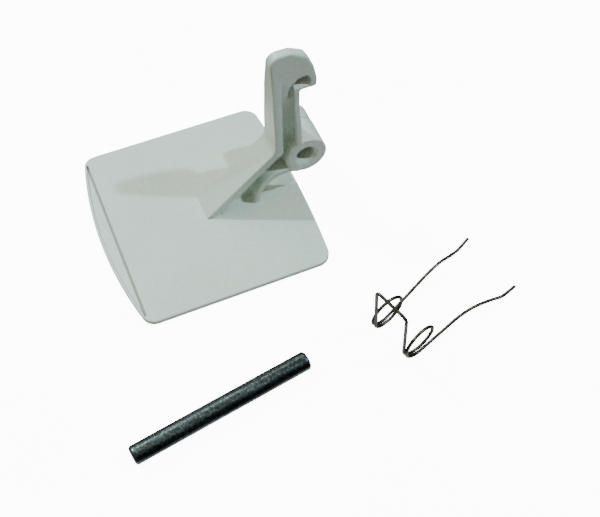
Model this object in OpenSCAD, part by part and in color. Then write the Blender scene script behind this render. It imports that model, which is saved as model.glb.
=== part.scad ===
// Door-latch handle kit, laid out in three loose pieces on one flat surface:
// a moulded handle with its hooked arm and hinge barrel, the steel hinge pin,
// and the double torsion spring that fits over the barrel.
// Units are millimetres. The origin is the middle of the barrel's bore, +Y runs
// along the bore to its far mouth, +X points away from the grip, and +Z is up.

/* [Grip plate] */
// Straight length of the plate from the finger crease to its far side, across the hinge axis
plate_w = 57.6; // [45:0.1:75]
// Length of the plate along the hinge axis
plate_l = 66.2; // [50:0.1:85]
// Thickness of the plate
plate_t = 1.6; // [1.2:0.1:3]
// Corner radius of the plate
plate_corner_r = 4.5; // [2:0.5:8]
// How far the finger edge bows out past the crease, corner to corner
lip_bow = 4.4; // [2:0.1:7]
// How far the edge under the barrel bows out
side_bow = 1.8; // [0.4:0.1:3]
// Distance from the hinge axis down to the plate's upper face
plate_drop = 14.3; // [12:0.1:20]

/* [Latch arm] */
// Angle of the ramp that climbs from the plate to the knee, in degrees
ramp_angle = 40.5; // [35:0.5:50]
// Width of the arm along the hinge axis where it meets the plate
base_y = 10.3; // [8:0.1:13]
// Width of the upright part of the arm along the hinge axis
arm_y = 7.6; // [6:0.1:9]
// Width of the hook's head along the hinge axis
head_y = 3.2; // [2.4:0.1:7]
// Width of the hook's nose and of the rear rib along the hinge axis
rear_y = 5.2; // [4.5:0.1:7]
// Depth of the upright arm from front to back
arm_depth = 8.7; // [7:0.1:11]
// Thickness of the front flange
flange_t = 2.6; // [1.8:0.1:3.5]
// Thickness of the rear rib and of the arched rib under the barrel
rib_t = 1.8; // [1.2:0.1:2.5]
// Thickness of the recessed web between the flanges
web_t = 2.4; // [1.6:0.1:4]
// Height of the hook's top above the hinge axis
hook_top = 40.8; // [35:0.1:46]
// Height of the hook's catch face above the hinge axis
catch_z = 27.7; // [24:0.1:32]
// Reach of the hook's tip past the back of the arm
hook_reach = 5.2; // [4:0.1:7]

/* [Hinge] */
// Diameter of the hinge pin
pin_d = 5.5; // [4:0.1:6]
// Length of the hinge pin
pin_l = 54; // [45:0.5:65]
// Chamfer on each end of the pin
pin_chamfer = 0.5; // [0.3:0.1:1]
// Clearance between the pin and the bore, on the diameter
bore_clearance = 0.12; // [0.04:0.02:0.2]
// Outer diameter of the hinge barrel
hub_d = 13.2; // [10:0.1:14]
// Length of the hinge barrel
hub_l = 16; // [12:0.5:22]
// Chamfer at each mouth of the bore
mouth_chamfer = 1; // [0.4:0.05:1.6]
// How much smaller the far part of the barrel is than the near part, on the radius
hub_step = 0.2; // [0.1:0.05:0.4]

/* [Spring] */
// Diameter of the spring wire
wire_d = 1; // [0.8:0.1:1.4]
// Mean radius of the two coils
coil_r = 5.3; // [4.5:0.1:7]
// Distance from the inner end of one coil to the inner end of the other
coil_gap = 11.3; // [8:0.1:13]
// Height of the bridge above the coil axis
bridge_h = 18.2; // [14:0.1:22]

/* [Hidden] */
$fn = 64;

plastic = [0.80, 0.82, 0.80];
plastic_shade = [0.70, 0.73, 0.71];
pin_steel = [0.45, 0.48, 0.50];
wire_steel = [0.16, 0.16, 0.14];

plate_z = -plate_drop;
floor_z = plate_z - plate_t;
edge_x = -3.9;
crease_x = edge_x - plate_w;
near_y = -37;
far_y = near_y + plate_l;
mid_plate_y = (near_y + far_y) / 2;
// The finger lip slopes from just under the crease to a thin outer edge
lip_drop = 0.3;
lip_edge_t = 0.8;
lip_r = (pow(plate_l / 2, 2) + lip_bow * lip_bow) / (2 * lip_bow);
lip_half = plate_l / 2 - plate_corner_r;
// The plate's two corners by the lip stand out as far as the lip's ends do
corner_out = sqrt(lip_r * lip_r - lip_half * lip_half) - lip_r + lip_bow;

// Front of the upright arm, and the middle plane of the whole arm
arm_front_x = -10.1;
arm_back_x = arm_front_x + arm_depth;
arm_mid_y = -3.5;
head_z = catch_z + 4;
// The rear rib stops just short of the catch, so that the catch face ends at the arm
rib_top_z = catch_z - 1;
hook_tip_x = arm_back_x + hook_reach;
flange_in_x = arm_front_x + flange_t;
rib_in_x = arm_back_x - rib_t;
ramp_rise = tan(ramp_angle);
knee_z = 5.6;
// Where the ramp's outer and inner faces meet the plate
ramp_tip_x = arm_front_x - (knee_z - plate_z) / ramp_rise;
ramp_in_tip_x = ramp_tip_x + flange_t / sin(ramp_angle);
knee_in_z = plate_z + (flange_in_x - ramp_in_tip_x) * ramp_rise;

hub_r = hub_d / 2;
bore_r = (pin_d + bore_clearance) / 2;
mouth_r = bore_r + mouth_chamfer;
hub_step_y = 2;
// The arch's circle touches the barrel from below
arch_r = 8.6;
arch_cx = -6.9;
arch_cz = -sqrt(pow(arch_r + hub_r, 2) - pow(arch_cx, 2));

// The pin and the spring lie on the same surface as the plate
pin_x = -51.2;
pin_y = -69.6;
pin_turn = 8.8;
spring_x = 3.9;
spring_y = -67.7;
spring_turn = 17.8;
coil_turns = 1.25;
wire_r = wire_d / 2;
coil_pitch = 1.08 * wire_d;
coil_len = coil_turns * coil_pitch;
coil_inner = coil_gap / 2;
coil_outer = coil_inner + coil_len;
spring_z = floor_z + coil_r + wire_r;
wire_sides = 8;
steps_per_turn = 24;
coil_steps = coil_turns * steps_per_turn;
bend_steps = 6;
slack = 1;

// ---- helpers ----

// Draws a flat XZ outline as a slab between two Y planes
module slab(y0, y1) {
    translate([0, y1, 0])
        rotate([90, 0, 0])
            linear_extrude(height = y1 - y0)
                children();
}

// Keeps what lies inside the arm's width, which narrows towards the top
module in_width() {
    b = base_y / 2;
    a = arm_y / 2;
    h = head_y / 2;
    intersection() {
        children();
        translate([crease_x, arm_mid_y, 0])
            rotate([90, 0, 90])
                linear_extrude(height = plate_w + 20)
                    polygon([[-b, plate_z], [b, plate_z], [a, 12], [a, catch_z],
                             [h, hook_top + slack], [-h, hook_top + slack],
                             [-a, catch_z], [-a, 12]]);
    }
}

// Keeps what lies inside the arm's plan, which narrows from its front to the hook
module in_plan() {
    front = arm_y / 2;
    rear = rear_y / 2;
    intersection() {
        children();
        translate([0, arm_mid_y, 0])
            linear_extrude(height = hook_top + slack)
                polygon([[arm_front_x, front], [rib_in_x, rear], [hook_tip_x, rear],
                         [hook_tip_x, -rear], [rib_in_x, -rear], [arm_front_x, -front]]);
    }
}

// A wire swept along a list of rings: each ring is [centre, side, other side]
module tube(rings) {
    n = len(rings);
    points = [for (ring = rings)
        for (k = [0 : wire_sides - 1])
            let (a = 360 * k / wire_sides)
                ring[0] + wire_r * (cos(a) * ring[1] + sin(a) * ring[2])];
    walls = [for (i = [0 : n - 2])
        for (k = [0 : wire_sides - 1])
            let (m = (k + 1) % wire_sides)
                [i * wire_sides + k, i * wire_sides + m,
                 (i + 1) * wire_sides + m, (i + 1) * wire_sides + k]];
    first = [for (k = [0 : wire_sides - 1]) wire_sides - 1 - k];
    last = [for (k = [0 : wire_sides - 1]) (n - 1) * wire_sides + k];
    polyhedron(points = points, faces = concat([first], walls, [last]), convexity = 6);
}

function unit(v) = v / norm(v);

// Rings along a path of points, turned so that each faces along the path. up is
// any direction that the path never follows.
function path_rings(path, up) =
    let (n = len(path))
        [for (i = [0 : n - 1])
            let (
                ahead = unit(path[min(i + 1, n - 1)] - path[max(i - 1, 0)]),
                side = unit(cross(up, ahead)),
                other = cross(ahead, side)
            )
                [path[i], side, other]];

// Points around a bend of radius r at corner, from the way in to the way out
function bend(corner, from, to, r) =
    let (
        u = unit(from - corner),
        v = unit(to - corner),
        half = acos(u * v) / 2,
        reach = r / tan(half),
        middle = corner + unit(u + v) * r / sin(half),
        p = corner + u * reach - middle,
        q = corner + v * reach - middle,
        turn = 180 - 2 * half
    )
        [for (i = [0 : bend_steps])
            let (a = turn * i / bend_steps)
                middle + (p * sin(turn - a) + q * sin(a)) / sin(turn)];

// A smooth curve through four points, used piece by piece along a leg
function leg_point(p, t) =
    0.5 * ((2 * p[1]) + (p[2] - p[0]) * t
           + (2 * p[0] - 5 * p[1] + 4 * p[2] - p[3]) * t * t
           + (3 * p[1] - p[0] - 3 * p[2] + p[3]) * t * t * t);

// ---- handle ----

// Plate outline: straight sides with round corners, bowed on the barrel side. The
// finger lip takes over past the crease, between the two corners beside it.
module plate_outline() {
    r = plate_corner_r;
    half = lip_half;
    left = crease_x - corner_out + r;
    side_r = (half * half + side_bow * side_bow) / (2 * side_bow);
    difference() {
        union() {
            translate([left - r, near_y + r])
                square([edge_x - left + r, 2 * half]);
            translate([left, near_y])
                square([edge_x - r - left, plate_l]);
            for (x = [left, edge_x - r])
                for (y = [near_y + r, far_y - r])
                    translate([x, y])
                        circle(r);
        }
        translate([crease_x - r, near_y + r])
            square([r, 2 * half]);
    }
    intersection() {
        translate([edge_x + side_bow - side_r, mid_plate_y])
            circle(side_r, $fn = 360);
        translate([edge_x, mid_plate_y - half])
            square([side_bow + slack, 2 * half]);
    }
}

module grip_plate() {
    color(plastic)
        translate([0, 0, floor_z])
            linear_extrude(height = plate_t)
                plate_outline();
}

// The bowed finger edge: its top slopes down from the crease to a thin rim
module grip_lip() {
    color(plastic_shade)
        intersection() {
            translate([crease_x - lip_bow + lip_r, mid_plate_y, floor_z])
                cylinder(r = lip_r, h = plate_t, $fn = 720);
            translate([0, mid_plate_y, 0])
                slab(-lip_half, lip_half)
                    polygon([[crease_x, floor_z], [crease_x, plate_z - lip_drop],
                             [crease_x - lip_bow, floor_z + lip_edge_t],
                             [crease_x - lip_bow, floor_z]]);
        }
}

// The ramp that rises from the plate to the knee
module ramp_flange() {
    color(plastic)
        in_width()
            slab(-base_y, base_y)
                polygon([[ramp_tip_x, plate_z], [ramp_in_tip_x, plate_z],
                         [flange_in_x, knee_in_z], [arm_front_x, knee_z]]);
}

// The upright front flange, from the knee to the hook's head
module arm_flange() {
    color(plastic)
        in_width()
            slab(-base_y, base_y)
                polygon([[arm_front_x, knee_z], [flange_in_x, knee_in_z],
                         [flange_in_x, head_z], [arm_front_x, head_z]]);
}

// The recessed web that joins the flanges, the ribs and the barrel
module arm_web() {
    color(plastic_shade)
        slab(arm_mid_y - web_t / 2, arm_mid_y + web_t / 2)
            difference() {
                polygon([[ramp_in_tip_x, plate_z], [flange_in_x, knee_in_z],
                         [flange_in_x, head_z], [rib_in_x, head_z], [rib_in_x, 0],
                         [0, 0], [arch_cx, arch_cz], [arch_cx, plate_z]]);
                circle(hub_r);
                translate([arch_cx, arch_cz])
                    circle(arch_r + rib_t);
            }
}

// The rear rib of the upright arm, standing on the barrel
module arm_rib() {
    color(plastic)
        in_plan()
            slab(-base_y, base_y)
                difference() {
                    translate([rib_in_x, 0])
                        square([rib_t, rib_top_z]);
                    circle(hub_r);
                }
}

// The arched rib from the underside of the barrel down to the plate
module arch_rib() {
    color(plastic)
        in_width()
            slab(-base_y, base_y)
                difference() {
                    intersection() {
                        translate([arch_cx, arch_cz])
                            circle(arch_r + rib_t);
                        polygon([[arch_cx * 3, plate_z], [arch_cx, plate_z],
                                 [arch_cx, arch_cz], [0, 0], [rib_in_x, 0],
                                 [rib_in_x, hub_r], [arch_cx * 3, hub_r]]);
                    }
                    translate([arch_cx, arch_cz])
                        circle(arch_r);
                    circle(hub_r);
                }
}

// The hook's outline: a round back, a slanting nose and a flat catch face
module hook_outline() {
    crown_r = 5.6;
    crown_x = arm_front_x + crown_r;
    crown_z = hook_top - crown_r;
    difference() {
        polygon([[arm_front_x, head_z], [arm_front_x, hook_top], [crown_x, hook_top],
                 [hook_tip_x - 5.4, hook_top - 0.8], [hook_tip_x - 3.3, hook_top - 1.9],
                 [hook_tip_x - 1.8, hook_top - 3.5], [hook_tip_x - 0.9, catch_z + 6.5],
                 [hook_tip_x - 0.2, catch_z + 3.8], [hook_tip_x, catch_z + 1.9],
                 [hook_tip_x, catch_z + 0.6], [hook_tip_x - 0.6, catch_z],
                 [arm_back_x, catch_z], [arm_back_x, rib_top_z],
                 [rib_in_x, rib_top_z], [rib_in_x, head_z]]);
        difference() {
            translate([arm_front_x - slack, crown_z])
                square(crown_r + slack);
            translate([crown_x, crown_z])
                circle(crown_r);
        }
    }
}

// The hook's head, with a pocket in each side above the catch
module hook_head() {
    color(plastic)
        difference() {
            in_plan()
                in_width()
                    slab(-base_y, base_y)
                        hook_outline();
            for (side = [-1, 1])
                translate([0, arm_mid_y + side * (web_t + base_y) / 2, 0])
                    slab(-base_y / 2, base_y / 2)
                        pocket_outline();
        }
}

module pocket_outline() {
    polygon([[rib_in_x + 0.8, catch_z + 1.5], [hook_tip_x - 1.6, catch_z + 1.8],
             [hook_tip_x - 1.6, catch_z + 3.8], [hook_tip_x - 2.6, catch_z + 5],
             [rib_in_x + 2.6, catch_z + 4.9], [rib_in_x + 0.6, catch_z + 3.6]]);
}

// The hinge barrel, a round boss with a chamfered bore
module hinge_hub() {
    color(plastic)
        rotate([-90, 0, 0])
            difference() {
                union() {
                    translate([0, 0, -hub_l / 2])
                        cylinder(r = hub_r, h = hub_l / 2 + hub_step_y);
                    translate([0, 0, hub_step_y])
                        cylinder(r = hub_r - hub_step, h = hub_l / 2 - hub_step_y);
                }
                translate([0, 0, -hub_l / 2 - slack])
                    cylinder(r = bore_r, h = hub_l + 2 * slack);
                for (end = [0, 1])
                    mirror([0, 0, end])
                        translate([0, 0, hub_l / 2 - mouth_chamfer])
                            cylinder(r1 = bore_r, r2 = mouth_r, h = mouth_chamfer);
            }
}

// ---- pin ----

module hinge_pin() {
    straight = pin_l - 2 * pin_chamfer;
    color(pin_steel)
        translate([pin_x, pin_y, floor_z + pin_d / 2])
            rotate([0, 90, pin_turn])
                translate([0, 0, -straight / 2]) {
                    cylinder(d = pin_d, h = straight);
                    translate([0, 0, straight])
                        cylinder(d1 = pin_d, d2 = pin_d - 2 * pin_chamfer, h = pin_chamfer);
                    translate([0, 0, -pin_chamfer])
                        cylinder(d2 = pin_d, d1 = pin_d - 2 * pin_chamfer, h = pin_chamfer);
                }
}

// ---- spring ----
// In the spring's own frame the coil axis is Y, +X is the way the legs point, and
// the coils' middle is the origin. side is 1 for the far coil and -1 for the near.

module place_spring() {
    translate([spring_x, spring_y, spring_z])
        rotate([0, 0, spring_turn])
            children();
}

// One coil, from its bottom at the outer end to its left side at the inner end
module coil(side) {
    rings = [for (i = [0 : coil_steps])
        let (
            a = -90 - 360 * i / steps_per_turn,
            y = side * (coil_outer - coil_len * i / coil_steps),
            out = [cos(a), 0, sin(a)]
        )
            [[coil_r * cos(a), y, coil_r * sin(a)], side * out, [0, 1, 0]]];
    tube(rings);
}

// A leg: it leaves the coil's bottom, rises a little, dips, and ends turned up
module leg(side, points) {
    start = [0, side * coil_outer, -coil_r];
    before = [-3, side * coil_outer, -coil_r];
    n = len(points);
    all = concat([before, start], points, [2 * points[n - 1] - points[n - 2]]);
    path = concat([for (i = [0 : n - 1])
        for (k = [0 : 3])
            leg_point([for (j = [0 : 3]) all[i + j]], k / 4)],
        [points[n - 1]]);
    tube(path_rings(path, [0, 0, 1]));
}

module spring_leg_far() {
    color(wire_steel)
        place_spring()
            leg(1, [[9, 8, -4.6], [18, 8.9, -3], [24.5, 9.4, -2.8], [30, 9.7, -4.4],
                    [33.5, 9.9, -5], [38, 10.3, -3.6]]);
}

module spring_leg_near() {
    color(wire_steel)
        place_spring()
            leg(-1, [[9, -6.9, -4.6], [16, -7.2, -3], [21.5, -7.9, -2.8], [27.5, -8.9, -4.4],
                     [31.5, -10, -5], [36, -10.5, -3.6]]);
}

module spring_coil_far() {
    color(wire_steel)
        place_spring()
            coil(1);
}

module spring_coil_near() {
    color(wire_steel)
        place_spring()
            coil(-1);
}

// The bridge rises from the coils' inner ends and crosses between them
module spring_bridge() {
    foot = [-coil_r, coil_inner, 0];
    corner = [-coil_r - 1.3, coil_inner, bridge_h];
    far_bend = bend(corner, foot, [corner[0], 0, bridge_h], 1.6);
    near_bend = [for (i = [0 : bend_steps])
        let (p = far_bend[bend_steps - i])
            [p[0], -p[1], p[2]]];
    rise = [0, 0, 0.8];
    path = concat([foot, foot + rise], far_bend, near_bend,
                  [[foot[0], -foot[1], foot[2]] + rise, [foot[0], -foot[1], foot[2]]]);
    color(wire_steel)
        place_spring()
            tube(path_rings(path, [1, 0, 0]));
}

grip_plate();
grip_lip();
ramp_flange();
arm_flange();
arm_web();
arm_rib();
arch_rib();
hook_head();
hinge_hub();
hinge_pin();
spring_leg_far();
spring_leg_near();
spring_coil_far();
spring_coil_near();
spring_bridge();
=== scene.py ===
import math

import bpy
import numpy as np
from mathutils import Matrix, Vector


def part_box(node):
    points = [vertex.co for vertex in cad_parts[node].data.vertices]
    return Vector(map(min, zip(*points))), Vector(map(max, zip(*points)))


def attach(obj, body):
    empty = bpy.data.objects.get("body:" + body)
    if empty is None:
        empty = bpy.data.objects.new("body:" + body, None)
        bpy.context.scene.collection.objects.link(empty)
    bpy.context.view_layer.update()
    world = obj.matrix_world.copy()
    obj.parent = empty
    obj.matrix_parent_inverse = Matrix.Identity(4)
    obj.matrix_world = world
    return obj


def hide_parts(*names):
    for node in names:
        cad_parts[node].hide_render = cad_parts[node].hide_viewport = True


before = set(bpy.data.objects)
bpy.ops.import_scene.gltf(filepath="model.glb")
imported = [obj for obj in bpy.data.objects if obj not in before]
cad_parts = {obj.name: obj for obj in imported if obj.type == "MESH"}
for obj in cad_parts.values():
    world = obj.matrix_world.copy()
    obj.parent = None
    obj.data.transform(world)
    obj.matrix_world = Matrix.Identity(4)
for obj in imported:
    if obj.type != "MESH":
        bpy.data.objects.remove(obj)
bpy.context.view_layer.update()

MM = 0.001

# ---- sizes, in millimetres, in the same frame as the CAD model ----

PLATE_LO, PLATE_HI = [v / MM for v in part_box("grip_plate")]
LIP_LO, LIP_HI = [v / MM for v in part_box("grip_lip")]
HEAD_LO, HEAD_HI = [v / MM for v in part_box("hook_head")]
HUB_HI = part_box("hinge_hub")[1] / MM

FLOOR_Z, PLATE_Z = PLATE_LO.z, PLATE_HI.z
NEAR_Y, FAR_Y = PLATE_LO.y, PLATE_HI.y
MID_Y = (NEAR_Y + FAR_Y) / 2
CREASE_X = LIP_HI.x
LIP_X = LIP_LO.x
SIDE_X = PLATE_HI.x
SIDE_BOW = 1.8
CORNER_R = 4.5

ARM_FRONT_X = HEAD_LO.x
ARM_BACK_X = -1.4
ARM_MID_Y = -3.5
FLANGE_T, RIB_T = 2.6, 1.8
FLANGE_IN_X = ARM_FRONT_X + FLANGE_T
RIB_IN_X = ARM_BACK_X - RIB_T
# The head's box starts 1 mm below its catch face, so the catch here is 1 mm lower than the
# CAD model's, and the pocket above it hangs from the same height
CATCH_Z, HOOK_TOP, HOOK_TIP_X = HEAD_LO.z, HEAD_HI.z, HEAD_HI.x
KNEE_Z = 5.6
RAMP_ANGLE = math.radians(40.5)
RAMP = math.tan(RAMP_ANGLE)
RAMP_TIP_X = ARM_FRONT_X - (KNEE_Z - PLATE_Z) / RAMP
RAMP_IN_TIP_X = RAMP_TIP_X + FLANGE_T / math.sin(RAMP_ANGLE)
KNEE_IN_Z = PLATE_Z + (FLANGE_IN_X - RAMP_IN_TIP_X) * RAMP

HUB_R = HUB_HI.x
HUB_HALF = HUB_HI.y
BORE_R, MOUTH = 2.81, 1.0
SEAM_Y = 2.0
ARCH_R, ARCH_RIB = 8.6, 1.8
ARCH_X = -6.9
ARCH_Z = -math.sqrt((ARCH_R + HUB_R) ** 2 - ARCH_X ** 2)

# The pin's middle, and its turn from the X axis
PIN_R, PIN_HALF, CHAMFER = 2.75, 27.0, 0.5
PIN_AT = (-51.2, -69.6, FLOOR_Z + PIN_R)
PIN_TURN = math.radians(8.8)

# The spring's own frame has the coil axis along Y and the legs towards +X
WIRE_R, COIL_R, COIL_INNER, TURNS, PITCH = 0.5, 5.3, 5.65, 1.25, 1.08
COIL_OUTER = COIL_INNER + TURNS * PITCH
BRIDGE_H, BRIDGE_LEAN, BRIDGE_BEND_R = 18.2, 1.3, 1.6
SPRING_AT = (3.9, -67.7, FLOOR_Z + COIL_R + WIRE_R)
SPRING_TURN = math.radians(17.8)
WIND_DEG = 28
# The legs are a hair thinner than the coils, so that their hidden ends stay inside them
LEG_R = WIRE_R * 0.985

# ---- distance fields: negative inside, in millimetres ----


def round_max(a, b, r):
    """The part inside both, with its edge rounded to radius r."""
    inner = np.minimum(np.maximum(a, b), -r)
    return inner + np.sqrt(np.maximum(a + r, 0) ** 2 + np.maximum(b + r, 0) ** 2)


def round_min(a, b, r):
    """The part inside either, with a fillet of radius r between them."""
    return -round_max(-a, -b, r)


def smooth(x, lo, hi):
    t = np.clip((x - lo) / (hi - lo), 0, 1)
    return t * t * (3 - 2 * t)


def corners(points, steps=7):
    """A closed outline from (x, y, corner radius) points, with arcs at its corners."""
    out = []
    n = len(points)
    for i in range(n):
        p = np.array(points[i][:2], float)
        a = np.array(points[i - 1][:2], float) - p
        b = np.array(points[(i + 1) % n][:2], float) - p
        r = points[i][2]
        la, lb = np.linalg.norm(a), np.linalg.norm(b)
        a, b = a / la, b / lb
        half = math.acos(float(np.clip(a @ b, -1, 1))) / 2
        if r <= 0 or half > math.radians(89):
            out.append(p)
            continue
        reach = min(r / math.tan(half), 0.49 * la, 0.49 * lb)
        r = reach * math.tan(half)
        centre = p + (a + b) / np.linalg.norm(a + b) * r / math.sin(half)
        u, v = p + a * reach - centre, p + b * reach - centre
        turn = math.pi - 2 * half
        for k in range(steps + 1):
            t = turn * k / steps
            out.append(centre + (u * math.sin(turn - t) + v * math.sin(t)) / math.sin(turn))
    return np.array(out)


def polygon(px, py, points):
    """Signed distance to a closed polygon."""
    px, py = np.broadcast_arrays(px, py)
    best = np.full(px.shape, 1e9)
    odd = np.zeros(px.shape, bool)
    for i in range(len(points)):
        ax, ay = points[i - 1]
        ex, ey = points[i][0] - ax, points[i][1] - ay
        wx, wy = px - ax, py - ay
        t = np.clip((wx * ex + wy * ey) / (ex * ex + ey * ey), 0, 1)
        best = np.minimum(best, (wx - t * ex) ** 2 + (wy - t * ey) ** 2)
        crosses = (ay > py) != (ay + ey > py)
        if ey:
            odd ^= crosses & (wx < wy * ex / ey)
    return np.where(odd, -1, 1) * np.sqrt(best)


def plate_side(x_end, bow, count):
    """One side of the plate, bowed out by bow in x, with a rounded corner at each end."""
    half = (FAR_Y - NEAR_Y) / 2
    r = (half * half + bow * bow) / (2 * abs(bow))
    ys = np.linspace(NEAR_Y, FAR_Y, count)
    sag = np.sqrt(r * r - (ys - MID_Y) ** 2) - (r - abs(bow))
    side = [(x_end + math.copysign(1, bow) * s, y, 0) for s, y in zip(sag, ys)]
    first, last = ((*point[:2], CORNER_R) for point in (side[0], side[-1]))
    # The points next to each corner make way for its rounding
    return [first] + side[3:-3] + [last]


PLATE_OUTLINE = corners(plate_side(CREASE_X, LIP_X - CREASE_X, 33)[::-1]
                        + plate_side(SIDE_X - SIDE_BOW, SIDE_BOW, 25), 12)

# The arm's silhouette, seen along the hinge axis
ARM_OUTLINE = corners([
    (RAMP_TIP_X - 1.2 / RAMP, PLATE_Z - 1.2, 0),
    (ARM_FRONT_X, KNEE_Z, 3.2),
    (ARM_FRONT_X, HOOK_TOP, 5.6),
    (-3.6, HOOK_TOP, 1.8),
    (0.9, 38.3, 3.0),
    (2.9, 34.4, 4.0),
    (HOOK_TIP_X, 29.9, 2.5),
    (HOOK_TIP_X, CATCH_Z, 0.9),
    (ARM_BACK_X, CATCH_Z, 0.9),
    (ARM_BACK_X, 0, 0),
    (0, 0, 0),
    (ARCH_X, ARCH_Z, 0),
    (ARCH_X, PLATE_Z - 1.2, 0),
])
# The recess between the flanges, on each side of the web
CHANNEL = corners([
    (RAMP_IN_TIP_X - 0.6, PLATE_Z - 0.7, 0.4),
    (FLANGE_IN_X, KNEE_IN_Z, 2.2),
    (FLANGE_IN_X, 36.4, 1.8),
    (RIB_IN_X, 36.4, 1.8),
    (RIB_IN_X, 0, 0),
    (0, 0, 0),
    (ARCH_X, ARCH_Z, 0),
    (ARCH_X, PLATE_Z - 0.7, 0),
])
# The deep pocket over the catch
POCKET = corners([
    (RIB_IN_X - 1.6, CATCH_Z - 6.0, 0.3),
    (RIB_IN_X - 1.5, CATCH_Z + 1.8, 2.2),
    (RIB_IN_X + 1.2, CATCH_Z + 4.6, 2.4),
    (HOOK_TIP_X - 2.7, CATCH_Z + 5.0, 1.2),
    (HOOK_TIP_X - 1.9, CATCH_Z + 2.8, 0.8),
    (HOOK_TIP_X - 2.2, CATCH_Z + 0.9, 0.4),
    (RIB_IN_X, CATCH_Z + 0.9, 0.2),
    (RIB_IN_X, CATCH_Z - 6.0, 0.2),
])


LIP_SLOPE, HOLLOW_DEPTH = 0.06, 0.5
GROOVE_HALF, GROOVE_STRAIGHT = 0.31, 0.55
SEAM_DEPTH, SEAM_STEP = 0.2, 0.12


def plate_top(x, outline):
    """Height of the upper face: flat, then the finger lip's hollow inside a narrow rim."""
    out = np.maximum(CREASE_X - x, 0)
    rim = smooth(-outline, 0.75, 1.0)
    return PLATE_Z - LIP_SLOPE * out - HOLLOW_DEPTH * smooth(out, 0, 0.28) * rim


def plate_field(x, y, z):
    """The grip plate and its finger lip, with the crease groove between them."""
    outline = polygon(x, y, PLATE_OUTLINE)
    plate = round_max(outline, z - plate_top(x, outline), 0.4)
    plate = round_max(plate, FLOOR_Z - z, 0.3)
    below = np.maximum(PLATE_Z - GROOVE_STRAIGHT - z, 0)
    groove = np.hypot(x - CREASE_X - 0.1, below) - GROOVE_HALF
    in_lip = np.abs(y - MID_Y) - (FAR_Y - NEAR_Y) / 2 + 3.2
    return round_max(plate, -np.maximum(groove, in_lip), 0.08)


def arm_half_width(x, z):
    """Half the arm's width: it narrows upwards, and sooner at the back than at the front."""
    taper = np.clip((z - 27) / (HOOK_TOP - 27), 0, 1)
    front = 5.15 - 0.65 * smooth(z, PLATE_Z - 8, 12) - 0.85 * smooth(z, 12, 27)
    front = front - 2.0 * taper
    rear = 5.15 - 0.75 * smooth(z, PLATE_Z - 8, 8) - 1.95 * smooth(z, 9, 22)
    rear = rear - 0.85 * taper ** 2
    return front + (rear - front) * smooth(x, ARM_FRONT_X + 1, ARM_BACK_X - 0.5)


def arm_field(x, z, side, rho):
    """The hooked arm, less the recesses beside its web and the pocket over the catch."""
    arch = np.hypot(x - ARCH_X, z - ARCH_Z)
    shape = np.maximum(polygon(x, z, ARM_OUTLINE), ARCH_R - arch)
    rounding = 0.45 + 0.3 * smooth(z, 29, 37)
    arm = round_max(shape, side - arm_half_width(x, z), rounding)
    recess = np.maximum(polygon(x, z, CHANNEL), ARCH_R + ARCH_RIB - arch)
    recess = round_max(recess, HUB_R - 0.4 - rho, 0.7)
    web_half = 1.2 + 1.7 * smooth(z, 21, 34) + 1.9 * smooth(-x, 21, 30)
    recess = round_max(recess, web_half - side, 0.7)
    arm = round_max(arm, -recess, 0.4)
    pocket = polygon(x, z - 0.6 * np.clip(2.4 - side, 0, 2), POCKET)
    pocket_floor = 1.4 - 0.9 * smooth(z, CATCH_Z - 4, CATCH_Z + 1)
    pocket = round_max(pocket, pocket_floor - side, 0.4)
    return round_max(arm, -pocket, 0.25)


def hub_field(y, rho):
    """The hinge barrel, with a seam line and a small step in its radius there."""
    seam = SEAM_DEPTH * smooth(np.abs(y - SEAM_Y), 0.24, 0.1)
    radius = HUB_R - seam - SEAM_STEP * smooth(y, SEAM_Y - 0.1, SEAM_Y + 0.1)
    return round_max(rho - radius, np.abs(y) - HUB_HALF, 0.3)


def handle_field(x, y, z):
    """The whole moulding, with fillets between its parts and the chamfered bore."""
    rho = np.hypot(x, z)
    arm = arm_field(x, z, np.abs(y - ARM_MID_Y), rho)
    body = round_min(arm, hub_field(y, rho), 0.7)
    # The fillet to the plate dies out at the ramp's tip
    fillet = 0.1 + 0.6 * smooth(x, RAMP_TIP_X + 1, RAMP_TIP_X + 5)
    body = round_min(body, plate_field(x, y, z), fillet)
    mouth = (rho - BORE_R - MOUTH + np.maximum(HUB_HALF - np.abs(y), 0)) * 0.7071
    return round_max(body, -np.minimum(rho - BORE_R, mouth), 0.12)


# ---- meshing ----


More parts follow.
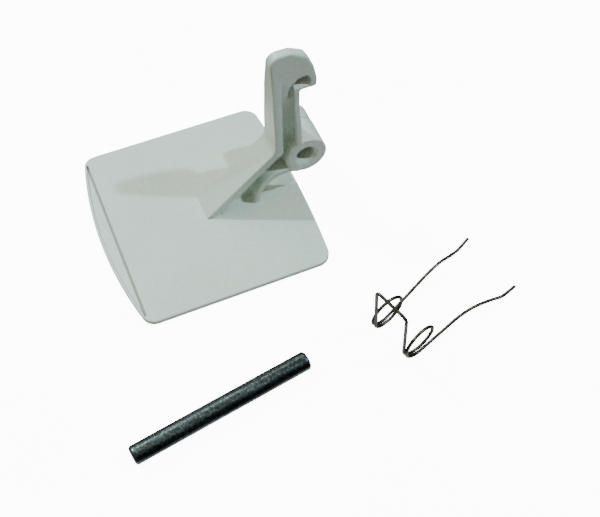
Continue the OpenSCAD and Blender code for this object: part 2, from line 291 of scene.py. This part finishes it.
def skin(field, xs, ys, zs):
    """A closed quad mesh on the field's zero surface, one vertex per crossed cell.

    Returns its vertices, faces and normals, and how far each vertex lies in a recess, 0 to 1.
    """
    value = field(xs[:, None, None], ys[None, :, None], zs[None, None, :])
    inside = value < 0
    count = sum(
        inside[a:a - 1 or None, b:b - 1 or None, c:c - 1 or None].astype(np.int8)
        for a in (0, 1) for b in (0, 1) for c in (0, 1))
    cells = np.argwhere((count > 0) & (count < 8))
    index = np.full(count.shape, -1, np.int64)
    index[tuple(cells.T)] = np.arange(len(cells))
    axes = (xs, ys, zs)
    total = np.zeros((len(cells), 3))
    hits = np.zeros(len(cells))
    for axis in range(3):
        others = [k for k in range(3) if k != axis]
        for s in (0, 1):
            for t in (0, 1):
                p = cells.copy()
                p[:, others[0]] += s
                p[:, others[1]] += t
                q = p.copy()
                q[:, axis] += 1
                va, vb = value[tuple(p.T)], value[tuple(q.T)]
                cut = (va < 0) != (vb < 0)
                f = np.where(cut, va / np.where(cut, va - vb, 1), 0)
                point = np.stack([axes[k][p[:, k]] for k in range(3)], 1)
                end = axes[axis][q[:, axis]]
                point[:, axis] += f * (end - point[:, axis])
                total += point * cut[:, None]
                hits += cut
    verts = total / hits[:, None]
    faces = []
    for axis in range(3):
        b, c = (axis + 1) % 3, (axis + 2) % 3
        lo = [slice(None)] * 3
        hi = [slice(None)] * 3
        lo[axis], hi[axis] = slice(0, -1), slice(1, None)
        for k in (b, c):
            lo[k] = hi[k] = slice(1, -1)
        first, second = inside[tuple(lo)], inside[tuple(hi)]
        edge = np.argwhere(first != second)
        out = first[tuple(edge.T)]
        edge[:, b] += 1
        edge[:, c] += 1
        ring = []
        for s, t in ((-1, -1), (0, -1), (0, 0), (-1, 0)):
            cell = edge.copy()
            cell[:, b] += s
            cell[:, c] += t
            ring.append(index[tuple(cell.T)])
        quad = np.stack(ring, 1)
        quad[~out] = quad[~out][:, ::-1]
        faces.append(quad)
    faces = np.concatenate(faces)
    # Three Newton steps bring the vertices close to the surface
    for _ in range(3):
        f = field(*verts.T)
        g = gradient(field, verts)
        step = f[:, None] * g / np.maximum((g * g).sum(1), 0.1)[:, None]
        verts = verts - np.clip(step, -0.2, 0.2)
    g = gradient(field, verts)
    normals = g / np.maximum(np.linalg.norm(g, axis=1), 1e-6)[:, None]
    # On an open face the field at this reach is the reach itself, and in a recess it is less
    reach = 0.5
    open_to = field(*(verts + reach * normals).T) / reach
    return verts, faces, normals, np.clip(1 - open_to, 0, 1)


def gradient(field, p, h=0.03):
    """The field's slope at points p, from four samples round each."""
    out = np.zeros_like(p)
    for k in ((1, 1, 1), (1, -1, -1), (-1, 1, -1), (-1, -1, 1)):
        k = np.array(k, float)
        out += field(*(p + k * h).T)[:, None] * k / (4 * h)
    return out


def steps(*spans):
    """Grid lines from spans of (start, end, spacing)."""
    lines = [np.linspace(a, b, max(2, int(round((b - a) / d)) + 1)) for a, b, d in spans]
    return np.unique(np.round(np.concatenate(lines), 6))


def mesh_object(name, verts, faces, material, normals=None):
    """A smooth-shaded object in the scene, from vertices in millimetres."""
    mesh = bpy.data.meshes.new(name)
    mesh.from_pydata((np.asarray(verts) * MM).tolist(), [], [list(f) for f in faces])
    mesh.validate()
    mesh.polygons.foreach_set("use_smooth", [True] * len(mesh.polygons))
    if normals is not None:
        mesh.normals_split_custom_set_from_vertices(np.asarray(normals).tolist())
    mesh.materials.append(material)
    obj = bpy.data.objects.new(name, mesh)
    bpy.context.scene.collection.objects.link(obj)
    return obj


# ---- materials ----


def map_range(tree, value, from_lo, from_hi, to_lo, to_hi):
    node = tree.nodes.new("ShaderNodeMapRange")
    for key, number in (("From Min", from_lo), ("From Max", from_hi),
                        ("To Min", to_lo), ("To Max", to_hi)):
        node.inputs[key].default_value = number
    tree.links.new(value, node.inputs["Value"])
    return node.outputs["Result"]


class Nodes:
    """A short way to wire a procedural material."""

    def __init__(self, name):
        self.material = bpy.data.materials.new(name)
        self.material.use_nodes = True
        self.tree = self.material.node_tree
        self.shader = self.tree.nodes["Principled BSDF"]
        self.coords = self.tree.nodes.new("ShaderNodeTexCoord").outputs["Object"]

    def link(self, a, b):
        self.tree.links.new(a, b)

    def noise(self, scale, detail=3.0, roughness=0.5, stretch=None):
        """Noise over the object, perhaps stretched by (turn about Z, scale along X, Y, Z)."""
        n = self.tree.nodes.new("ShaderNodeTexNoise")
        n.inputs["Scale"].default_value = scale
        n.inputs["Detail"].default_value = detail
        n.inputs["Roughness"].default_value = roughness
        source = self.coords
        if stretch:
            m = self.tree.nodes.new("ShaderNodeMapping")
            m.inputs["Rotation"].default_value = (0, 0, stretch[0])
            m.inputs["Scale"].default_value = stretch[1]
            self.link(source, m.inputs["Vector"])
            source = m.outputs["Vector"]
        self.link(source, n.inputs["Vector"])
        return n.outputs["Fac"]

    def ramp(self, value, *stops):
        r = self.tree.nodes.new("ShaderNodeValToRGB")
        band = r.color_ramp
        while len(band.elements) < len(stops):
            band.elements.new(0.5)
        for element, (at, colour) in zip(band.elements, stops):
            element.position = at
            element.color = (*colour, 1)
        self.link(value, r.inputs["Fac"])
        return r.outputs["Color"]

    def multiply(self, a, b):
        m = self.tree.nodes.new("ShaderNodeMix")
        m.data_type = "RGBA"
        m.blend_type = "MULTIPLY"
        m.inputs[0].default_value = 1.0
        self.link(a, m.inputs[6])
        self.link(b, m.inputs[7])
        return m.outputs[2]

    def span(self, value, lo, hi):
        """Noise, which keeps mostly to its middle range, stretched over lo to hi."""
        return map_range(self.tree, value, 0.3, 0.7, lo, hi)

    def bump(self, *layers):
        """Layers of (height, distance in metres, strength)."""
        last = None
        for height, distance, strength in layers:
            b = self.tree.nodes.new("ShaderNodeBump")
            b.inputs["Strength"].default_value = strength
            b.inputs["Distance"].default_value = distance
            self.link(height, b.inputs["Height"])
            if last is not None:
                self.link(last, b.inputs["Normal"])
            last = b.outputs["Normal"]
        self.link(last, self.shader.inputs["Normal"])


def grey(v):
    return (v, v, v)


# Satin moulded plastic: a faint mould texture, soft flow variation, gloss that varies a little, and
# painted shade in its creases and inside corners
m = Nodes("satin_moulding")
tone = m.ramp(m.noise(38, 2), (0.35, (0.540, 0.625, 0.548)), (0.65, (0.580, 0.660, 0.578)))
specks = m.ramp(m.noise(900, 2), (0.42, grey(0.94)), (0.6, grey(1.0)))
tone = m.multiply(tone, specks)
# Painted shade: the colour darkens in creases and inside corners, the deeper each point lies in a
# recess
crease = m.tree.nodes.new("ShaderNodeAttribute")
crease.attribute_name = "recess"
painted_recess_shade = m.ramp(crease.outputs["Fac"], (0.05, grey(1.0)), (0.75, (0.50, 0.52, 0.50)))
m.link(m.multiply(tone, painted_recess_shade), m.shader.inputs["Base Color"])
m.link(m.span(m.noise(120, 4, 0.6), 0.34, 0.46), m.shader.inputs["Roughness"])
m.shader.inputs["IOR"].default_value = 1.47
m.shader.inputs["Coat Weight"].default_value = 0.08
m.shader.inputs["Coat Roughness"].default_value = 0.2
m.bump((m.noise(1700, 2), 0.00004, 0.2), (m.noise(60, 2), 0.0004, 0.12))
MOULDING = m.material

# Zinc plated pin: mottled, with fine lengthwise drawing marks
m = Nodes("zinc_pin")
mottle = m.ramp(m.noise(1500, 4, 0.7), (0.34, (0.035, 0.052, 0.056)), (0.52, (0.075, 0.102, 0.108)),
                (0.70, (0.22, 0.27, 0.27)))
drawn = m.ramp(m.noise(420, 3, 0.6, (-PIN_TURN, (0.05, 1, 1))), (0.38, grey(0.45)),
               (0.62, grey(1.0)))
m.link(m.multiply(mottle, drawn), m.shader.inputs["Base Color"])
m.shader.inputs["Metallic"].default_value = 1.0
m.link(m.span(m.noise(1300, 4, 0.6), 0.2, 0.42), m.shader.inputs["Roughness"])
m.bump((m.noise(1800, 4, 0.6), 0.00004, 0.25))
PIN = m.material

# Oiled spring wire: nearly black, with small worn glints
m = Nodes("oiled_spring_wire")
worn = m.ramp(m.noise(700, 4, 0.6), (0.42, (0.030, 0.029, 0.018)), (0.60, (0.065, 0.061, 0.042)),
              (0.72, (0.26, 0.245, 0.19)))
m.link(worn, m.shader.inputs["Base Color"])
m.shader.inputs["Metallic"].default_value = 0.75
m.link(m.span(m.noise(500, 3), 0.26, 0.48), m.shader.inputs["Roughness"])
m.bump((m.noise(1100, 3), 0.00006, 0.5))
WIRE = m.material

# The floor glows far past white, so that it looks evenly lit to its edges
m = Nodes("pale_floor")
paper = m.ramp(m.noise(9, 2), (0.3, grey(0.90)), (0.7, grey(0.93)))
m.link(paper, m.shader.inputs["Base Color"])
m.link(paper, m.shader.inputs["Emission Color"])
m.shader.inputs["Emission Strength"].default_value = 12.0
m.material.cycles.emission_sampling = "NONE"
m.shader.inputs["Roughness"].default_value = 0.9
m.shader.inputs["Specular IOR Level"].default_value = 0.1
FLOOR = m.material

# ---- handle ----

verts, faces, normals, recess = skin(
    handle_field,
    steps((-66.5, -62.2, 0.17), (-62.2, -60.9, 0.09), (-60.9, -36.0, 1.1),
          (-36.0, 7.5, 0.3)),
    steps((-37.6, -35.8, 0.16), (-35.8, -9.2, 0.95), (-9.2, 1.7, 0.3), (1.7, 2.3, 0.1),
          (2.3, 9.2, 0.3), (9.2, 28.0, 0.94), (28.0, 29.8, 0.16)),
    steps((-16.4, -13.8, 0.16), (-13.8, 41.4, 0.3)))
handle = mesh_object("handle_moulding", verts, faces, MOULDING, normals)
# The recess attribute drives the painted shade that darkens the moulding's colour in creases and
# corners
handle.data.attributes.new("recess", "FLOAT", "POINT").data.foreach_set("value", recess)
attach(handle, "handle")
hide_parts("grip_plate", "grip_lip", "ramp_flange", "arm_flange", "arm_web",
            "arm_rib", "arch_rib", "hook_head", "hinge_hub")

# ---- swept and turned pieces ----


def ring_faces(rings, sides):
    """The faces of a closed tube made of rings, with a cap at each end."""
    faces = []
    for i in range(rings - 1):
        for k in range(sides):
            n = (k + 1) % sides
            faces.append((i * sides + k, i * sides + n, (i + 1) * sides + n,
                          (i + 1) * sides + k))
    faces.append(tuple(range(sides))[::-1])
    faces.append(tuple((rings - 1) * sides + k for k in range(sides)))
    return faces


def tube(path, radius, sides=18, cap=0.12):
    """A round wire along a path, with slightly rounded ends."""
    path = np.asarray(path, float)
    ahead = np.gradient(path, axis=0)
    ahead /= np.linalg.norm(ahead, axis=1)[:, None]
    side = np.cross((0, 1, 0), ahead[0])
    frames = []
    for a in ahead:
        side = side - a * (side @ a)
        side /= np.linalg.norm(side)
        frames.append((side.copy(), np.cross(a, side)))
    rings = []
    for end, sign in ((0, -1), (len(path) - 1, 1)):
        shrink = [(radius - cap, 0.0), (radius - cap * 0.3, -cap * 0.3), (radius, -cap)]
        if sign > 0:
            shrink = shrink[::-1]
        for r, back in shrink:
            rings.append((path[end] + ahead[end] * sign * back, frames[end], r))
    rings = (rings[:3] + [(path[i], frames[i], radius) for i in range(1, len(path) - 1)]
             + rings[3:])
    angles = np.linspace(0, 2 * math.pi, sides, endpoint=False)
    verts = [c + r * (math.cos(t) * u + math.sin(t) * w)
             for c, (u, w), r in rings for t in angles]
    return np.array(verts), ring_faces(len(rings), sides)


def turned(profile, sides):
    """A solid turned about X from (x, radius) points."""
    verts = []
    for x, r in profile:
        for k in range(sides):
            t = 2 * math.pi * k / sides
            verts.append((x, r * math.cos(t), r * math.sin(t)))
    return np.array(verts), [f[::-1] for f in ring_faces(len(profile), sides)]


def place(verts, origin, angle):
    """Vertices turned by angle about Z, then moved to origin."""
    c, s = math.cos(angle), math.sin(angle)
    turn = np.array([[c, s, 0], [-s, c, 0], [0, 0, 1]])
    return verts @ turn + np.array(origin)


# ---- hinge pin ----

# Its end from the flat face outwards: a soft inner edge, the chamfer, a soft outer edge
end = [(PIN_HALF, PIN_R - CHAMFER - 0.12), (PIN_HALF - 0.02, PIN_R - CHAMFER - 0.03),
       (PIN_HALF - 0.08, PIN_R - CHAMFER + 0.06), (PIN_HALF - CHAMFER + 0.1, PIN_R - 0.1),
       (PIN_HALF - CHAMFER, PIN_R - 0.03), (PIN_HALF - CHAMFER - 0.12, PIN_R)]
middle = [(x, PIN_R) for x in np.linspace(PIN_HALF - 1.2, -PIN_HALF + 1.2, 30)]
profile = end + middle + [(-x, r) for x, r in reversed(end)]
pin_verts, pin_faces = turned(profile, 72)
pin = mesh_object("hinge_pin_turned",
                  place(pin_verts, PIN_AT, PIN_TURN), pin_faces, PIN)
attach(pin, "pin_and_spring_legs")
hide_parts("hinge_pin")

# ---- spring ----


def helix(side, start, stop, count):
    """Along a coil from angle start to stop, in degrees past its bottom."""
    out = []
    for k in range(count + 1):
        past = start + (stop - start) * k / count
        a = math.radians(-90 - past)
        out.append((COIL_R * math.cos(a), side * (COIL_OUTER - PITCH * past / 360),
                    COIL_R * math.sin(a)))
    return out


def curve_through(points, count):
    """A smooth curve through points; the first and last only set its direction."""
    p = np.array(points, float)
    out = []
    for i in range(1, len(p) - 2):
        for k in range(count):
            t = k / count
            out.append(0.5 * (2 * p[i] + (p[i + 1] - p[i - 1]) * t
                              + (2 * p[i - 1] - 5 * p[i] + 4 * p[i + 1] - p[i + 2]) * t ** 2
                              + (3 * p[i] - p[i - 1] - 3 * p[i + 1] + p[i + 2]) * t ** 3))
    out.append(p[-2])
    return out


def bend(corner, a, b, r, count):
    """An arc of radius r that rounds a corner between the ways to a and to b."""
    corner, a, b = (np.array(v, float) for v in (corner, a, b))
    u = (a - corner) / np.linalg.norm(a - corner)
    v = (b - corner) / np.linalg.norm(b - corner)
    half = math.acos(float(u @ v)) / 2
    reach = r / math.tan(half)
    mid = corner + (u + v) / np.linalg.norm(u + v) * r / math.sin(half)
    p, q = corner + u * reach - mid, corner + v * reach - mid
    turn = math.pi - 2 * half
    return [mid + (p * math.sin(turn - turn * k / count) + q * math.sin(turn * k / count))
            / math.sin(turn) for k in range(count + 1)]


# Each leg's side of the coils, and the points that its wire passes through
LEGS = {
    "far": (1, [(9, 8, -4.6), (18, 8.9, -3), (24.5, 9.4, -2.8), (30, 9.7, -4.4),
                (33.5, 9.9, -5), (38, 10.3, -3.6)]),
    "near": (-1, [(9, -6.9, -4.6), (16, -7.2, -3), (21.5, -7.9, -2.8), (27.5, -8.9, -4.4),
                  (31.5, -10, -5), (36, -10.5, -3.6)]),
}
for name, (side, points) in LEGS.items():
    start = (0, side * COIL_OUTER, -COIL_R)
    last = 2 * np.array(points[-1], float) - np.array(points[-2], float)
    leg = curve_through([(-3, side * COIL_OUTER, -COIL_R), start, *points, last], 8)
    # The leg's own end carries on inside the coil, so that winding it leaves no gap
    hidden = helix(side, WIND_DEG + 4, 2, 12)
    verts, faces = tube(hidden + leg, LEG_R)
    obj = mesh_object("spring_leg_" + name + "_wire", place(verts, SPRING_AT, SPRING_TURN),
                      faces, WIRE)
    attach(obj, "pin_and_spring_legs")
    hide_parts("spring_leg_" + name)

# Coil, rise, upright and bend make one half; the bridge crosses to its mirror image
foot = (-COIL_R, COIL_INNER, 0)
corner = (-COIL_R - BRIDGE_LEAN, COIL_INNER, BRIDGE_H)
top = (corner[0], 0, BRIDGE_H)
rise = [(foot[0] - 0.02 * k, foot[1], 0.8 * k) for k in (0.5, 1, 2)]
turn_far = bend(corner, foot, top, BRIDGE_BEND_R, 10)
upright = [tuple(np.array(rise[-1]) + (turn_far[0] - np.array(rise[-1])) * k / 8)
           for k in range(1, 8)]
half_path = helix(1, 0, 360 * TURNS, 60) + rise + upright + turn_far
across = [(corner[0], turn_far[-1][1] * (1 - k / 6), BRIDGE_H) for k in range(1, 6)]
mirror = [(p[0], -p[1], p[2]) for p in reversed(half_path + across)]
path = [tuple(p) for p in half_path + across] + [top] + mirror
verts, faces = tube(path, WIRE_R)
winding = mesh_object("spring_winding_wire", place(verts, SPRING_AT, SPRING_TURN), faces, WIRE)
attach(winding, "spring_winding")
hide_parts("spring_coil_far", "spring_coil_near", "spring_bridge")

# ---- stage, light and camera ----

FLOOR_HALF = 3000
floor = mesh_object("floor", [(x * FLOOR_HALF, y * FLOOR_HALF, FLOOR_Z)
                              for x, y in ((-1, -1), (1, -1), (1, 1), (-1, 1))],
                    [(0, 1, 2, 3)], FLOOR)
# A high-key floor: bright to look at, without lighting the object from below
floor.visible_diffuse = False
floor.visible_glossy = False
floor.visible_shadow = False

world = bpy.data.worlds.new("studio")
world.use_nodes = True
sky_tree = world.node_tree
sky = sky_tree.nodes["Background"]
sky.inputs["Color"].default_value = (1.0, 0.92, 0.73, 1)
direction = sky_tree.nodes.new("ShaderNodeTexCoord").outputs["Generated"]
# Brightest towards one side, and almost nothing from a right angle to it onwards
facing = sky_tree.nodes.new("ShaderNodeVectorMath")
facing.operation = "DOT_PRODUCT"
facing.inputs[1].default_value = Vector((-0.45, 0.42, 0.79)).normalized()
sky_tree.links.new(direction, facing.inputs[0])
glow = map_range(sky_tree, facing.outputs["Value"], 0.0, 1.0, 0.02, 1.16)
# Below the horizon it gives the light that the pale surface throws back up
height = sky_tree.nodes.new("ShaderNodeSeparateXYZ")
sky_tree.links.new(direction, height.inputs["Vector"])
thrown_up = map_range(sky_tree, height.outputs["Z"], -0.02, 0.02, 0.07, 0.0)
both = sky_tree.nodes.new("ShaderNodeMath")
both.operation = "MAXIMUM"
sky_tree.links.new(glow, both.inputs[0])
sky_tree.links.new(thrown_up, both.inputs[1])
sky_tree.links.new(both.outputs["Value"], sky.inputs["Strength"])
bpy.context.scene.world = world


# Every light aims near the middle of the handle
LIGHT_AIM = Vector((-25, -5, 0)) * MM


def area_light(name, toward, distance, size, watts, colour):
    """A round light, distance and size in metres, placed toward a direction from the aim."""
    data = bpy.data.lights.new(name, "AREA")
    data.shape = "DISK"
    data.size = size
    data.energy = watts
    data.color = colour
    obj = bpy.data.objects.new(name, data)
    bpy.context.scene.collection.objects.link(obj)
    toward = Vector(toward).normalized()
    obj.location = LIGHT_AIM + toward * distance
    obj.rotation_mode = "QUATERNION"
    obj.rotation_quaternion = toward.to_track_quat("Z", "Y")


area_light("key", (-0.45, 0.75, 1.0), 1.0, 0.04, 8.6, (0.66, 0.86, 0.95))
area_light("fill", (0.627, -0.228, 0.749), 1.0, 0.035, 8.8, (0.66, 0.85, 0.98))
area_light("bounce", (-0.05, -0.30, -0.95), 1.0, 1.7, 8.5, (0.93, 0.97, 1.0))
area_light("window", (0.05, 0.64, 0.77), 1.2, 0.35, 1.2, (1.0, 0.97, 0.92))

CAMERA_AT = (-76.61, -179.72, 225.72)
CAMERA_TOWARD = (0.2214, 0.5089, -0.8319)
CAMERA_ROLL = math.radians(0.49)

camera_data = bpy.data.cameras.new("camera")
camera_data.sensor_width = 36
camera_data.lens = 57.9
camera_data.clip_start = 0.01
camera = bpy.data.objects.new("camera", camera_data)
bpy.context.scene.collection.objects.link(camera)
forward = Vector(CAMERA_TOWARD).normalized()
sideways = forward.cross(Vector((0, 0, 1))).normalized()
right = sideways * math.cos(CAMERA_ROLL) + sideways.cross(forward) * math.sin(CAMERA_ROLL)
upward = right.cross(forward)
camera.location = Vector(CAMERA_AT) * MM
camera.rotation_mode = "QUATERNION"
camera.rotation_quaternion = Matrix((right, upward, -forward)).transposed().to_quaternion()
bpy.context.scene.camera = camera
